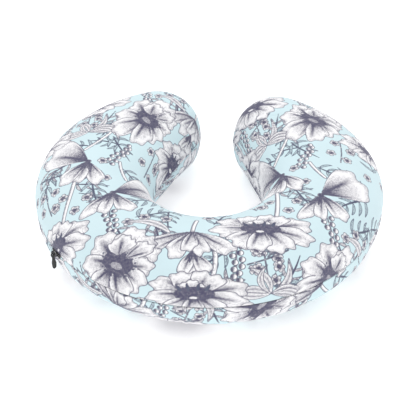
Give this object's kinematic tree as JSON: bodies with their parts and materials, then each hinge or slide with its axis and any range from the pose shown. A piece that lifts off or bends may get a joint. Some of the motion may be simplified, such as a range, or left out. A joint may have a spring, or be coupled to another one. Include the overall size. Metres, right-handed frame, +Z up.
{
  "type": "nursing pillow",
  "caption": "U-shaped stuffed nursing pillow: a zipped printed cloth cover in two panels round an inner cushion, with a narrow mouth between its two arm ends.",
  "frame": {"origin": "middle of the pillow's base, on the surface that it rests on", "axes": "+X along the pillow's long side, +Y from the closed front towards the mouth between the arm ends, +Z up"},
  "size_m": [0.518, 0.4688, 0.135],
  "materials": {
    "cover_print": "pale blue woven polyester with a white and ink-violet drawn flower print",
    "thread": "spun polyester sewing thread",
    "casing": "plain white non-woven casing",
    "fill": "white polyester fibre",
    "zip_tape": "pale blue-grey woven tape",
    "zip_coil": "pale blue-grey nylon coil",
    "zip_metal": "black enamelled zinc alloy"
  },
  "bodies": {
    "pillow": {"cover_top_panel": "cover_print", "cover_bottom_panel": "cover_print", "cover_seam_thread": "thread", "casing_top_panel": "casing", "casing_bottom_panel": "casing", "casing_seam_thread": "thread", "fibre_fill": "fill", "zip_tape_upper": "zip_tape", "zip_tape_lower": "zip_tape", "zip_stitching_upper": "thread", "zip_stitching_lower": "thread", "zip_coil_upper": "zip_coil", "zip_coil_lower": "zip_coil", "zip_top_stop_upper": "zip_metal", "zip_top_stop_lower": "zip_metal", "zip_bottom_stop": "zip_metal"},
    "slider": {"slider_body": "zip_metal"},
    "pull": {"pull_tab": "zip_metal"}
  },
  "joints": [
    {"name": "slider_travel", "type": "hinge", "parent": "pillow", "child": "slider", "pos_m": [0, 0.0246, 0.066], "axis": [0, 0, 1], "range_deg": [0, 101]},
    {"name": "pull_swing", "type": "hinge", "parent": "slider", "child": "pull", "pos_m": [-0.20489, -0.14363, 0.066], "axis": [-0.6346, 0.7729, 0], "range_deg": [-5, 180]}
  ]
}
